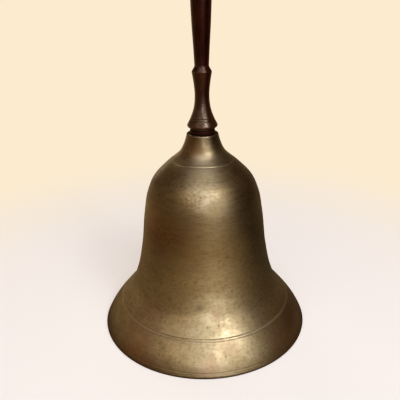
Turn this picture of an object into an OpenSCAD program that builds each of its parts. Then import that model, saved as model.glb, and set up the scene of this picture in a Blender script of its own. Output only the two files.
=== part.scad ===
// Hand bell: a turned brass shell on a slim hardwood handle, with a clapper that swivels and swings.
// +Z runs up the axis of the bell. The origin is at the centre of the lip plane that the bell stands on.

/* [Shell outline] */
// Outside diameter at the lip
lip_d = 102; // [96:0.5:108]
// Rounding of the lip's outer edge
lip_round = 0.8; // [0.4:0.1:1.5]
// Outside diameter on the bow above the lip
bow_d = 94.5; // [90:0.5:98]
// Height of that bow diameter above the rest plane
bow_z = 7.5; // [6:0.5:9]
// Outside diameter on the flare
flare_d = 83.5; // [80:0.5:87]
// Height of the flare diameter
flare_z = 14.5; // [13:0.5:16]
// Outside diameter at the foot of the flare
hollow_d = 73.5; // [71:0.5:77]
// Height of the foot of the flare
hollow_z = 20.5; // [19:0.5:22]
// Outside diameter low on the waist
waist_low_d = 68; // [66:0.5:70]
// Height of the low waist diameter
waist_low_z = 27; // [25:0.5:29]
// Outside diameter at the middle of the waist
waist_d = 61; // [58:0.5:64]
// Height of the middle of the waist
waist_z = 42; // [38:0.5:46]
// Height of the shell from its lip to its crown
shell_h = 97.5; // [92:0.5:106]
// Outside diameter at the top of the waist
waist_top_d = 56.5; // [54:0.5:58]
// Drop of the waist's top below the crown
waist_top_drop = 37.5; // [35:0.5:40]
// Outside diameter at the foot of the shoulder
shoulder_low_d = 52.5; // [51:0.5:54]
// Drop of the shoulder's foot below the crown
shoulder_low_drop = 27.5; // [26:0.5:30]
// Outside diameter on the round of the shoulder
shoulder_d = 46; // [44:0.5:48]
// Drop of the shoulder's round below the crown
shoulder_drop = 20.5; // [19.5:0.5:22.5]
// Outside diameter at the top of the shoulder
shoulder_top_d = 34.5; // [32:0.5:37]
// Drop of the shoulder's top below the crown
shoulder_top_drop = 14.5; // [13.5:0.5:16]
// Outside diameter low on the neck
neck_low_d = 21; // [19:0.5:23]
// Drop of the low neck diameter below the crown
neck_low_drop = 8.5; // [7.5:0.5:9.5]
// Outside diameter of the neck
neck_d = 16.5; // [15:0.5:18]
// Drop of the neck diameter below the crown
neck_drop = 4; // [3:0.5:5]
// Diameter of the flat crown
crown_d = 14.5; // [13.5:0.5:15.5]
// Chamfer round the crown's edge
crown_chamfer = 0.3; // [0.1:0.1:0.6]

/* [Shell wall] */
// Wall thickness at the lip
lip_wall = 3.4; // [2.6:0.1:4.2]
// Wall thickness from the waist up
waist_wall = 2.4; // [1.8:0.1:3]
// Chamfer of the lip's inner edge
lip_chamfer = 0.5; // [0.2:0.1:0.8]
// Thickness of the solid crown above the ceiling
crown_t = 13; // [11:0.5:15]

/* [Turned lines] */
// Height of the upper line on the flare
flare_line_z = 14.3; // [12:0.1:17]
// Distance between the two lines on the flare
flare_line_gap = 0.9; // [0.7:0.1:1.5]
// Height of the line above the lip
lip_line_z = 2.6; // [2:0.1:4]
// Drop of the shoulder's line below the crown
shoulder_line_drop = 12.2; // [11:0.1:14.5]
// Width of a turned line
line_w = 0.35; // [0.2:0.05:0.6]
// Depth of a turned line
line_depth = 0.15; // [0.1:0.05:0.4]

/* [Handle] */
// Diameter of the foot that stands on the washer
foot_d = 11; // [10:0.2:12]
// Height of the foot
foot_h = 0.8; // [0.5:0.1:1.5]
// Diameter of the flared base
base_d = 13.8; // [13:0.2:15]
// Rounding of the base's lower edge
base_round = 1; // [0.5:0.1:1.3]
// Tilt of the flare where it leaves that rounded edge
base_tilt = 27; // [20:1:40]
// Diameter part way up the flared base
base_mid_d = 11; // [10:0.1:11.6]
// Height of that diameter above the handle's seat
base_mid_z = 4.8; // [4:0.2:5.6]
// Diameter at the top of the flared base
base_top_d = 7.9; // [7.2:0.1:8.6]
// Height of the top of the flared base
base_top_z = 9; // [8:0.5:10.5]
// Smallest diameter of the neck below the bead
stem_d = 6.5; // [6:0.1:7]
// Height of that neck
stem_z = 15; // [13:0.5:17]
// Diameter of the stem below the bead
stem_top_d = 7.3; // [6.8:0.1:7.8]
// Height of that diameter
stem_top_z = 20.5; // [19:0.5:22]
// Diameter of the bead
bead_d = 8.8; // [8:0.1:10]
// Height of the bead's edge
bead_z = 25; // [24:0.2:27]
// Width of the bead's edge
bead_edge = 0.5; // [0.2:0.1:0.8]
// Height of the sloping top of the bead
bead_slope_h = 2.2; // [1:0.1:2.8]
// Diameter at the root of the grip
grip_root_d = 6.3; // [6:0.1:7]
// Diameter low on the grip
grip_low_d = 7; // [6.6:0.1:7.6]
// Height of that diameter above the root of the grip
grip_low_h = 7.5; // [6:0.5:9]
// Diameter at the middle of the grip
grip_mid_d = 8.2; // [7.8:0.1:8.8]
// Height of the middle of the grip above its root
grip_mid_h = 17.5; // [15:0.5:20]
// Largest diameter of the grip
belly_d = 9.1; // [8.6:0.1:10.6]
// Height of the grip's belly above its root
belly_h = 34; // [30:0.5:38]
// Diameter of the throat under the knob
throat_d = 7.4; // [6.8:0.1:8.4]
// Height of the throat above the grip's root
throat_h = 51.8; // [48:0.2:56]
// Diameter of the knob
knob_d = 11.4; // [10.5:0.1:13]
// Height of the knob's widest point above the throat
knob_rise = 6; // [5:0.2:8]
// Diameter of the knob's flat top
knob_top_d = 8.6; // [8.2:0.1:9.6]
// Height of the flat top above the knob's widest point
knob_top_rise = 3.4; // [2.6:0.1:4.5]
// Height of the upper turned line on the base above the handle's seat
base_line_z = 5.2; // [4.8:0.1:6]
// Distance between the two turned lines on the base
base_line_gap = 1; // [0.7:0.1:1.2]
// Depth of the turned lines on the base
base_line_depth = 0.15; // [0.05:0.05:0.3]

/* [Rod and clamp] */
// Diameter of the tie rod
rod_d = 3; // [2.5:0.1:3.4]
// Gap round the rod in the crown, the handle and the washers
rod_clear = 0.15; // [0.05:0.05:0.25]
// Diameter of the rod's head
rod_head_d = 5.6; // [5:0.1:6.4]
// Thickness of the rod's head
rod_head_t = 1.6; // [1.2:0.1:2.2]
// Width of the driver slot in the head
slot_w = 0.8; // [0.5:0.1:1.2]
// Depth of the driver slot
slot_depth = 0.7; // [0.4:0.1:1]
// Diameter of the leather washer under the handle
foot_washer_d = 11.4; // [10.4:0.2:12.4]
// Thickness of that washer
foot_washer_t = 1.9; // [0.8:0.1:2.4]
// Diameter of the leather washer under the crown
crown_washer_d = 14; // [11:0.5:17]
// Thickness of that washer
crown_washer_t = 1.4; // [0.8:0.1:2]
// Diameter of the steel clamp washer
clamp_washer_d = 11; // [9:0.5:13]
// Thickness of the clamp washer
clamp_washer_t = 1; // [0.6:0.1:1.6]
// Width of the clamp nut across its flats
nut_af = 5.5; // [5.2:0.1:7]
// Thickness of the clamp nut
nut_t = 2.4; // [1.8:0.1:3]
// Chamfer of the nut's corners
nut_chamfer = 0.3; // [0.1:0.05:0.5]

/* [Finial] */
// Diameter of the washer on the handle's top
finial_washer_d = 7.6; // [7:0.1:8.2]
// Thickness of that washer
finial_washer_t = 0.8; // [0.5:0.1:1.2]
// Diameter of the acorn nut's base
finial_base_d = 6.4; // [6:0.1:7]
// Height of the base
finial_base_h = 1.4; // [1:0.1:2]
// Diameter of the acorn nut's waist
finial_waist_d = 5; // [4.6:0.1:5.6]
// Height of the waist
finial_waist_h = 1.2; // [0.8:0.1:2]
// Diameter of the acorn's ball
finial_ball_d = 7; // [6.4:0.1:8]
// Depth of the threaded hole in the acorn nut
finial_hole = 5.4; // [4:0.1:6]
// Gap above the rod's end in that hole
finial_gap = 0.6; // [0.3:0.1:1]

/* [Clapper] */
// Gap between the yoke's cheeks
yoke_gap = 6.6; // [6.5:0.1:8]
// Thickness of the yoke's strap
yoke_t = 1.8; // [1.4:0.1:2.4]
// Width of the yoke's strap
yoke_w = 7.4; // [6.6:0.1:9]
// Inner radius of the strap's bends
yoke_bend = 0.8; // [0.4:0.1:1.2]
// Play of the yoke along the rod, above and below its bridge
yoke_play = 0.3; // [0.15:0.05:0.5]
// Radial running gap of the yoke on the rod and of the eye on its pin
run_clear = 0.06; // [0.03:0.01:0.1]
// Diameter of the yoke's pin
pin_d = 3; // [2.4:0.1:3.4]
// Diameter of the pin's two riveted heads
pin_head_d = 4.6; // [4.2:0.1:5.4]
// Thickness of a riveted head
pin_head_t = 0.9; // [0.6:0.1:1.4]
// Diameter of the cheek washers
cheek_washer_d = 5.6; // [4.6:0.1:6.4]
// Thickness of a cheek washer
cheek_washer_t = 0.5; // [0.3:0.1:0.8]
// Play between the eye and each cheek washer
eye_play = 0.15; // [0.05:0.05:0.25]
// Diameter of the clapper's barrel eye
eye_d = 6; // [5.4:0.1:7]
// Gap between the eye and the rod's head
eye_gap = 0.7; // [0.4:0.1:1.5]
// Diameter of the shank
shank_d = 3.5; // [3:0.1:4.4]
// Diameter of the collar that the ball seats on
collar_d = 6; // [5:0.1:7]
// Height of the collar
collar_h = 1.6; // [1:0.1:2.4]
// Diameter of the ball
ball_d = 18; // [15:0.5:20]
// Depth of the flats turned on the ball's top and bottom
ball_flat = 0.5; // [0.3:0.1:0.8]
// Diameter of the shank's riveted end
rivet_d = 5; // [4.6:0.1:5.8]
// Height of the riveted end
rivet_h = 1; // [0.6:0.1:1.4]
// Height of the clapper's lowest point above the rest plane
clapper_lift = 5; // [4:0.5:9]

/* [Hidden] */
$fn = 96;

// Straight steps along the shell's curves, along a curve of the handle, along half of its knob
// and along a small round
shell_steps = 64;
handle_steps = 18;
knob_steps = 7;
round_steps = 4;
// How far a cut runs past the face that it opens
cut_over = 1;

// The shell's outside as [height, radius] knots from the lip to the crown
shell_knots = [
    [lip_round, lip_d / 2],
    [bow_z, bow_d / 2],
    [flare_z, flare_d / 2],
    [hollow_z, hollow_d / 2],
    [waist_low_z, waist_low_d / 2],
    [waist_z, waist_d / 2],
    [shell_h - waist_top_drop, waist_top_d / 2],
    [shell_h - shoulder_low_drop, shoulder_low_d / 2],
    [shell_h - shoulder_drop, shoulder_d / 2],
    [shell_h - shoulder_top_drop, shoulder_top_d / 2],
    [shell_h - neck_low_drop, neck_low_d / 2],
    [shell_h - neck_drop, neck_d / 2],
    [shell_h - crown_chamfer, crown_d / 2]
];

// The handle's two curves, as knots above its seat
grip_root_z = bead_z + bead_edge + bead_slope_h;
throat_z = grip_root_z + throat_h;
knob_z = throat_z + knob_rise;
handle_h = knob_z + knob_top_rise;
base_knots = [
    [foot_h + base_round * (1 + sin(base_tilt)), base_d / 2 - base_round * (1 - cos(base_tilt))],
    [base_mid_z, base_mid_d / 2],
    [base_top_z, base_top_d / 2],
    [stem_z, stem_d / 2],
    [stem_top_z, stem_top_d / 2],
    [bead_z, bead_d / 2]
];
grip_knots = [
    [grip_root_z, grip_root_d / 2],
    [grip_root_z + grip_low_h, grip_low_d / 2],
    [grip_root_z + grip_mid_h, grip_mid_d / 2],
    [grip_root_z + belly_h, belly_d / 2],
    [throat_z, throat_d / 2]
];

// Heights of the stack, from the crown up and from the ceiling down
ceiling_z = shell_h - crown_t;
handle_seat_z = shell_h + foot_washer_t;
handle_top_z = handle_seat_z + handle_h;
finial_z = handle_top_z + finial_washer_t;
rod_top_z = finial_z + finial_hole - finial_gap;
clamp_washer_z = ceiling_z - crown_washer_t - clamp_washer_t;
nut_z = clamp_washer_z - nut_t;
bridge_top_z = nut_z - yoke_play;
bridge_z = bridge_top_z - yoke_t;
rod_head_z = bridge_z - yoke_play - rod_head_t;
pin_z = rod_head_z - eye_gap - eye_d / 2;

// Clapper
rod_hole_d = rod_d + 2 * rod_clear;
yoke_half = yoke_gap / 2 + yoke_t;
eye_w = yoke_gap - 2 * (cheek_washer_t + eye_play);
ball_seat = ball_d / 2 - ball_flat;
ball_z = clapper_lift + rivet_h + ball_seat;

// Slope of the straight line from knot i to the next one
function chord_slope(k, i) = (k[i + 1][1] - k[i][1]) / (k[i + 1][0] - k[i][0]);
// Slope at knot i, from the parabola through it and its neighbours
function knot_slope(k, i) =
    i == 0 ? 2 * chord_slope(k, 0) - knot_slope(k, 1) :
    i == len(k) - 1 ? 2 * chord_slope(k, i - 1) - knot_slope(k, i - 1) :
    let (a = k[i][0] - k[i - 1][0], b = k[i + 1][0] - k[i][0])
    (a * chord_slope(k, i) + b * chord_slope(k, i - 1)) / (a + b);
// Index of the stretch between knots that holds height z
function stretch(k, z, i = 0) = i == len(k) - 2 || z < k[i + 1][0] ? i : stretch(k, z, i + 1);
// Radius and slope of the smooth cubic through the knots at height z
function curve_r(k, z) =
    let (i = stretch(k, z), h = k[i + 1][0] - k[i][0], t = (z - k[i][0]) / h)
    (2 * t + 1) * (1 - t) ^ 2 * k[i][1] + t * (1 - t) ^ 2 * h * knot_slope(k, i)
    + t ^ 2 * (3 - 2 * t) * k[i + 1][1] + t ^ 2 * (t - 1) * h * knot_slope(k, i + 1);
function curve_slope(k, z) =
    let (i = stretch(k, z), h = k[i + 1][0] - k[i][0], t = (z - k[i][0]) / h)
    6 * t * (1 - t) * chord_slope(k, i)
    + (1 - t) * (1 - 3 * t) * knot_slope(k, i) + t * (3 * t - 2) * knot_slope(k, i + 1);
// Heights spread evenly from z0 to z1
function spread(z0, z1, steps) = [for (j = [0:steps]) z0 + (z1 - z0) * j / steps];
// Points of the smooth cubic, as [radius, height]
function curve_points(k, steps) =
    [for (z = spread(k[0][0], k[len(k) - 1][0], steps)) [curve_r(k, z), z]];
// Points of a round about a centre, from angle a to angle b
function round_points(centre, r, a, b) =
    [for (j = [0:round_steps]) let (c = a + (b - a) * j / round_steps) centre + r * [cos(c), sin(c)]];

// Wall thickness at height z, which thins from the lip to the waist
function wall(z) = z > waist_low_z ? waist_wall : lip_wall + (waist_wall - lip_wall) * z / waist_low_z;
// Inside radius of the shell, one wall thickness in from the outside
function inner_r(z) = curve_r(shell_knots, z) - wall(z) * sqrt(1 + curve_slope(shell_knots, z) ^ 2);

// A V-shaped turned line cut square into the curve through knots k at height z
module turned_line(k, z, w, depth) {
    translate([curve_r(k, z), z])
        rotate(-atan(curve_slope(k, z)))
            polygon([[-depth, 0], [depth, -w], [depth, w]]);
}

// A flat ring that stands on height z
module ring(d, hole, t, z) {
    translate([0, 0, z])
        difference() {
            cylinder(d = d, h = t);
            translate([0, 0, -cut_over]) cylinder(d = hole, h = t + 2 * cut_over);
        }
}

// A cylinder along Y, centred on the pin's axis
module cross_cylinder(d, w) {
    translate([0, 0, pin_z]) rotate([90, 0, 0]) cylinder(d = d, h = w, center = true);
}

module bell_shell() {
    lip_r = lip_d / 2;
    inside = [for (z = spread(lip_chamfer, ceiling_z, shell_steps)) [inner_r(z), z]];
    wall_outline = concat(
        [[inside[0][0] + lip_chamfer, 0]],
        round_points([lip_r - lip_round, lip_round], lip_round, -90, 0),
        [for (p = curve_points(shell_knots, shell_steps)) if (p[1] > lip_round) p],
        [[crown_d / 2 - crown_chamfer, shell_h], [rod_hole_d / 2, shell_h], [rod_hole_d / 2, ceiling_z]],
        [for (j = [shell_steps:-1:0]) inside[j]]
    );
    lines = [lip_line_z, flare_line_z - flare_line_gap, flare_line_z, shell_h - shoulder_line_drop];
    color("#8a6a3c")
        rotate_extrude()
            difference() {
                polygon(wall_outline);
                for (z = lines)
                    turned_line(shell_knots, z, line_w, line_depth);
            }
}

module handle() {
    base_r = base_d / 2;
    knob_r = knob_d / 2;
    throat_r = throat_d / 2;
    knob_top_r = knob_top_d / 2;
    // The knob swells out of the throat in an S curve, then rounds over to its flat top
    knob_under = [for (j = [1:knob_steps]) let (s = j / knob_steps)
        [throat_r + (knob_r - throat_r) * (1 - cos(180 * s)) / 2, throat_z + knob_rise * s]];
    knob_over = [for (j = [1:knob_steps]) let (c = 90 * j / knob_steps)
        [knob_top_r + (knob_r - knob_top_r) * cos(c), knob_z + knob_top_rise * sin(c)]];
    outline = concat(
        [[rod_hole_d / 2, 0], [foot_d / 2, 0], [foot_d / 2, foot_h]],
        round_points([base_r - base_round, foot_h + base_round], base_round, -90, base_tilt),
        [for (p = curve_points(base_knots, handle_steps)) if (p[1] > base_knots[0][0]) p],
        [[bead_d / 2, bead_z + bead_edge]],
        curve_points(grip_knots, handle_steps),
        knob_under,
        knob_over,
        [[rod_hole_d / 2, handle_h]]
    );
    color("#3a1d0e")
        translate([0, 0, handle_seat_z])
            rotate_extrude()
                difference() {
                    polygon(outline);
                    for (z = [base_line_z - base_line_gap, base_line_z])
                        turned_line(base_knots, z, line_w, base_line_depth);
                }
}

module foot_washer() {
    color("#3b1c10") ring(foot_washer_d, rod_hole_d, foot_washer_t, shell_h);
}

module tie_rod() {
    color("#8f9092")
        difference() {
            union() {
                translate([0, 0, rod_head_z]) cylinder(d = rod_head_d, h = rod_head_t);
                translate([0, 0, rod_head_z]) cylinder(d = rod_d, h = rod_top_z - rod_head_z);
            }
            translate([-slot_w / 2, -rod_head_d, rod_head_z - cut_over])
                cube([slot_w, 2 * rod_head_d, slot_depth + cut_over]);
        }
}

module finial_washer() {
    color("#9a7a45") ring(finial_washer_d, rod_hole_d, finial_washer_t, handle_top_z);
}

module finial_nut() {
    ball_r = finial_ball_d / 2;
    acorn_waist_z = finial_z + finial_base_h;
    // The ball is cut where it meets the top of the waist
    acorn_waist_top = acorn_waist_z + finial_waist_h;
    ball_centre = acorn_waist_top + sqrt(ball_r ^ 2 - (finial_waist_d / 2) ^ 2);
    color("#9a7a45")
        difference() {
            union() {
                translate([0, 0, finial_z]) cylinder(d = finial_base_d, h = finial_base_h);
                translate([0, 0, acorn_waist_z])
                    cylinder(d = finial_waist_d, h = ball_centre - acorn_waist_z);
                translate([0, 0, ball_centre]) sphere(r = ball_r);
            }
            translate([0, 0, finial_z - cut_over]) cylinder(d = rod_d, h = finial_hole + cut_over);
        }
}

module crown_washer() {
    color("#4a2a18") ring(crown_washer_d, rod_hole_d, crown_washer_t, ceiling_z - crown_washer_t);
}

module clamp_washer() {
    color("#a8a9ab") ring(clamp_washer_d, rod_hole_d, clamp_washer_t, clamp_washer_z);
}

module clamp_nut() {
    corner_r = nut_af / 2 / cos(30);
    chamfered = [[0, 0], [corner_r - nut_chamfer, 0], [corner_r, nut_chamfer],
        [corner_r, nut_t - nut_chamfer], [corner_r - nut_chamfer, nut_t], [0, nut_t]];
    color("#a8a9ab")
        translate([0, 0, nut_z])
            difference() {
                intersection() {
                    cylinder(r = corner_r, h = nut_t, $fn = 6);
                    rotate_extrude() polygon(chamfered);
                }
                translate([0, 0, -cut_over]) cylinder(d = rod_d, h = nut_t + 2 * cut_over);
            }
}

// A square-ended shape whose two upper corners are round, for the bent strap
module bent_outline(half, top, r) {
    low = pin_z - yoke_w;
    translate([-half, low]) square([2 * half, top - r - low]);
    translate([-(half - r), low]) square([2 * (half - r), top - low]);
    for (side = [-1, 1])
        translate([side * (half - r), top - r]) circle(r = r);
}

module clapper_yoke() {
    color("#94723c")
        difference() {
            intersection() {
                translate([-yoke_w / 2, 0, 0])
                    rotate([90, 0, 90])
                        linear_extrude(yoke_w)
                            difference() {
                                bent_outline(yoke_half, bridge_top_z, yoke_bend + yoke_t);
                                bent_outline(yoke_gap / 2, bridge_z, yoke_bend);
                            }
                // Seen along Y the cheeks end in a half round about the pin
                union() {
                    cross_cylinder(yoke_w, 2 * yoke_half);
                    translate([-yoke_w / 2, -yoke_half, pin_z])
                        cube([yoke_w, 2 * yoke_half, bridge_top_z - pin_z]);
                }
            }
            translate([0, 0, bridge_z - cut_over])
                cylinder(d = rod_d + 2 * run_clear, h = yoke_t + 2 * cut_over);
            cross_cylinder(pin_d, 2 * (yoke_half + cut_over));
        }
}

module yoke_pin() {
    color("#8f9092") {
        cross_cylinder(pin_d, 2 * yoke_half);
        for (side = [-1, 1])
            translate([0, side * (yoke_half + pin_head_t / 2), 0])
                cross_cylinder(pin_head_d, pin_head_t);
    }
}

module cheek_washers() {
    color("#94723c")
        for (side = [-1, 1])
            translate([0, side * (yoke_gap - cheek_washer_t) / 2, 0])
                difference() {
                    cross_cylinder(cheek_washer_d, cheek_washer_t);
                    cross_cylinder(pin_d + 2 * run_clear, cheek_washer_t + 2 * cut_over);
                }
}

module clapper_shank() {
    color("#5c5a57")
        difference() {
            union() {
                cross_cylinder(eye_d, eye_w);
                translate([0, 0, clapper_lift]) cylinder(d = shank_d, h = pin_z - clapper_lift);
                translate([0, 0, ball_z + ball_seat]) cylinder(d = collar_d, h = collar_h);
                translate([0, 0, clapper_lift]) cylinder(d = rivet_d, h = rivet_h);
            }
            cross_cylinder(pin_d + 2 * run_clear, eye_w + 2 * cut_over);
        }
}

module clapper_ball() {
    color("#94723c")
        translate([0, 0, ball_z])
            difference() {
                intersection() {
                    sphere(d = ball_d);
                    cylinder(d = ball_d, h = 2 * ball_seat, center = true);
                }
                cylinder(d = shank_d, h = ball_d, center = true);
            }
}

bell_shell();
handle();
foot_washer();
tie_rod();
finial_washer();
finial_nut();
crown_washer();
clamp_washer();
clamp_nut();
clapper_yoke();
yoke_pin();
cheek_washers();
clapper_shank();
clapper_ball();
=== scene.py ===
import math

import bmesh
import bpy
import numpy as np
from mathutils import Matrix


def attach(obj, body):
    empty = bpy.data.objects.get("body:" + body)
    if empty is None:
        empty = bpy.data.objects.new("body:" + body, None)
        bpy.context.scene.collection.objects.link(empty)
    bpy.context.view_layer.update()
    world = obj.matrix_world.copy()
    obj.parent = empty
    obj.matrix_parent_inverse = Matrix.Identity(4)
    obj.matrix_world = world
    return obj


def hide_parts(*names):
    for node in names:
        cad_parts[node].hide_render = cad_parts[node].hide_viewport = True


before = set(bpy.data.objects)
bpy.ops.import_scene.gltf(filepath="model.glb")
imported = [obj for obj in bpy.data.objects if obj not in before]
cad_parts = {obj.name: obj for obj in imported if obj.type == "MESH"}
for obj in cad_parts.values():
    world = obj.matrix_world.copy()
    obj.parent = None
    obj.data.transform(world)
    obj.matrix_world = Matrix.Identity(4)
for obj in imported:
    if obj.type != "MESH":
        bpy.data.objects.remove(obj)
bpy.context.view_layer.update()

mm = 0.001
meetMm = 0.002  # points closer than this are one point
easeShare = 0.45  # an eased corner takes at most this share of the edge beside it
noiseLow, noiseHigh = 0.3, 0.7  # most of a noise texture's values lie between these
print("frame loaded:", ", ".join(sorted(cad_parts)))


# sRGB hex code to the linear colour that the shaders work in
def hexLinear(code):
    srgb = np.array([int(code[i:i + 2], 16) for i in (1, 3, 5)]) / 255
    linear = np.where(srgb <= 0.04045, srgb / 12.92, ((srgb + 0.055) / 1.055) ** 2.4)
    return (*linear.tolist(), 1.0)


# texture scale that gives features of this size in mm, on coordinates in metres
def perMm(size):
    return 1 / (size * mm)


# adds a node with its settings, fills or links its inputs, where a hex code is a colour, and gives
# back one output
def addNode(tree, kind, inputs, output=0, **settings):
    node = tree.nodes.new("ShaderNode" + kind)
    for key, value in settings.items():
        setattr(node, key, value)
    for key, value in inputs.items():
        if isinstance(value, bpy.types.NodeSocket):
            tree.links.new(value, node.inputs[key])
        else:
            node.inputs[key].default_value = hexLinear(value) if isinstance(value, str) else value
    return node.outputs[output] if node.outputs else None


def newMaterial(name):
    material = bpy.data.materials.new(name)
    material.use_nodes = True
    tree = material.node_tree
    tree.nodes.clear()
    return material, tree


# radius and slope at given heights, on cubics through the knots whose slopes come from
# the parabola through each knot and its neighbours
def turnedCurve(knots, heights):
    z, r = np.array(knots, dtype=float).T
    gap = np.diff(z)
    chord = np.diff(r) / gap
    slope = np.empty_like(z)
    slope[1:-1] = (gap[:-1] * chord[1:] + gap[1:] * chord[:-1]) / (gap[:-1] + gap[1:])
    slope[0] = 2 * chord[0] - slope[1]
    slope[-1] = 2 * chord[-1] - slope[-2]
    i = np.clip(np.searchsorted(z, heights, side="right") - 1, 0, len(z) - 2)
    t = (heights - z[i]) / gap[i]
    radius = ((2 * t + 1) * (1 - t) ** 2 * r[i] + t * (1 - t) ** 2 * gap[i] * slope[i]
              + t ** 2 * (3 - 2 * t) * r[i + 1] + t ** 2 * (t - 1) * gap[i] * slope[i + 1])
    steep = (6 * t * (1 - t) * chord[i] + (1 - t) * (1 - 3 * t) * slope[i]
             + t * (3 * t - 2) * slope[i + 1])
    return radius, steep


# corner points with every corner eased by a parabola that starts `ease` before it and ends
# `ease` after it, or part way to a near neighbour; an open outline keeps its two ends
def easedOutline(corners, ease, steps=5, closed=True):
    corners = np.array(corners, dtype=float)
    before = np.roll(corners, 1, axis=0) - corners
    after = np.roll(corners, -1, axis=0) - corners
    lengthBefore = np.linalg.norm(before, axis=1, keepdims=True)
    lengthAfter = np.linalg.norm(after, axis=1, keepdims=True)
    start = corners + before / lengthBefore * np.minimum(ease, easeShare * lengthBefore)
    end = corners + after / lengthAfter * np.minimum(ease, easeShare * lengthAfter)
    t = np.linspace(0, 1, steps)[None, :, None]
    curve = (1 - t) ** 2 * start[:, None] + 2 * t * (1 - t) * corners[:, None] + t ** 2 * end[:, None]
    if closed:
        return curve.reshape(-1, 2)
    return np.vstack([corners[:1], curve[1:-1].reshape(-1, 2), corners[-1:]])


# an outline of (radius, height) in mm carried round Z, or round Y through `centre`: a grid of
# points, one row for each outline point and one column for each angle
def carriedRound(outline, sides, axis="z", centre=(0, 0, 0)):
    angle = np.arange(sides) * (2 * np.pi / sides)
    r, h = outline[:, :1], outline[:, 1:]
    across, up, along = r * np.cos(angle), r * np.sin(angle), h + 0 * angle
    columns = [across, up, along] if axis == "z" else [across, along, up]
    return np.stack(columns, axis=-1) + np.array(centre)


# one object from grids of points in mm: rows are joined round, and end to end where a grid is
# closed; points that meet at a pole are merged. `leaveOut` names faces to drop, by their corners.
def makePiece(name, grids, closed, material, body, node, sharp=40, leaveOut=None):
    points, quads, used = [], [], 0
    for grid in grids:
        rows, columns = grid.shape[:2]
        index = np.arange(rows * columns).reshape(rows, columns) + used
        below = index if closed else index[:-1]
        above = np.roll(index, -1, axis=0) if closed else index[1:]
        quads.append(np.stack([below, np.roll(below, -1, axis=1), np.roll(above, -1, axis=1), above],
                              axis=-1).reshape(-1, 4))
        points.append(grid.reshape(-1, 3))
        used += rows * columns
    points, quads = np.vstack(points), np.vstack(quads)
    if leaveOut is not None:
        quads = quads[~leaveOut(points[quads])]
    mesh = bpy.data.meshes.new(name)
    mesh.from_pydata((points * mm).tolist(), [], quads.tolist())
    shape = bmesh.new()
    shape.from_mesh(mesh)
    bmesh.ops.remove_doubles(shape, verts=shape.verts, dist=meetMm * mm)
    bmesh.ops.recalc_face_normals(shape, faces=shape.faces)
    shape.to_mesh(mesh)
    shape.free()
    mesh.polygons.foreach_set("use_smooth", np.ones(len(mesh.polygons), dtype=bool))
    mesh.set_sharp_from_angle(angle=math.radians(sharp))
    mesh.materials.append(material)
    piece = bpy.data.objects.new(name, mesh)
    bpy.context.collection.objects.link(piece)
    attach(piece, body)
    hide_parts(node)
    print(f"{name}: {len(mesh.polygons)} faces on {body}")
    return piece


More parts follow.
